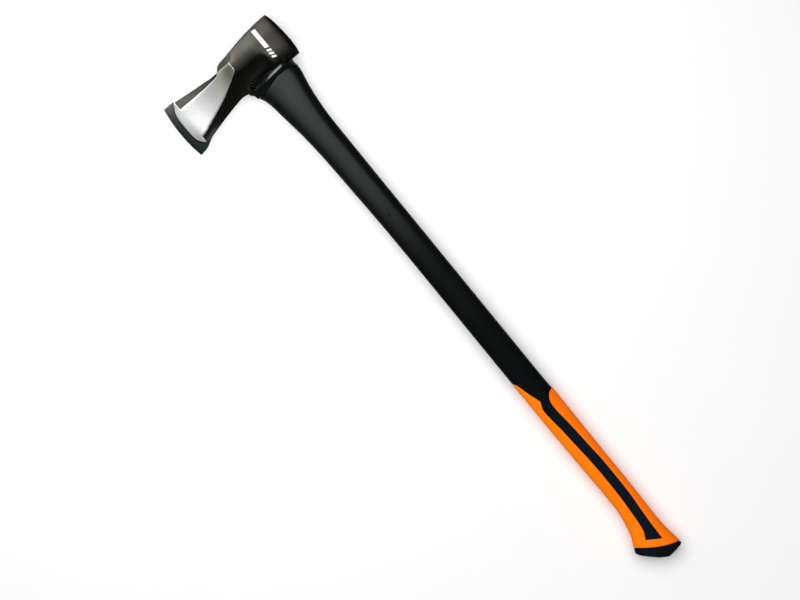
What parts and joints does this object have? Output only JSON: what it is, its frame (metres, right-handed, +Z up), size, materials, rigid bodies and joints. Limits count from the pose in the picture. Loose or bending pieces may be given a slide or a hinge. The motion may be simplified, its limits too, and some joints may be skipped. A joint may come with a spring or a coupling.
{
  "type": "felling axe",
  "caption": "Long two-handed axe with a forged wedge head, relieved blade, cored plastic handle, soft grip with side windows, flared butt and a pull-off edge guard.",
  "frame": {"origin": "centre of the bounding box's floor: the axe lies on its side, its lowest cheek at Z = 0, and the mid-plane of head and handle at Z = 27.5 mm", "axes": "+X along the handle from head to butt, -Y towards the cutting edge, +Y towards the poll, +Z up out of the side face"},
  "size_m": [0.898, 0.193, 0.055],
  "materials": {
    "forged_steel": "satin black paint over forged steel, the wedge ground bare and polished",
    "guard_rubber": "satin moulded rubber",
    "fibreglass": "pultruded glass-fibre rod, cut end",
    "black_nylon": "fine spark-eroded matte moulding",
    "gloss_black": "gloss",
    "orange_soft_grip": "satin soft-touch elastomer",
    "cap_black": "satin moulding",
    "bonding_resin": "cast resin"
  },
  "bodies": {
    "axe": {"axe_head": "forged_steel", "handle_core": "fibreglass", "handle_shell": "black_nylon", "neck_collar": "gloss_black", "grip_overmold": "orange_soft_grip", "butt_cap": "cap_black", "eye_resin": "bonding_resin"},
    "guard": {"edge_guard": "guard_rubber"}
  },
  "joints": [
    {"name": "guard_pull", "type": "slide", "parent": "axe", "child": "guard", "axis": [0, -1, 0], "range_m": [0, 0.07]}
  ]
}
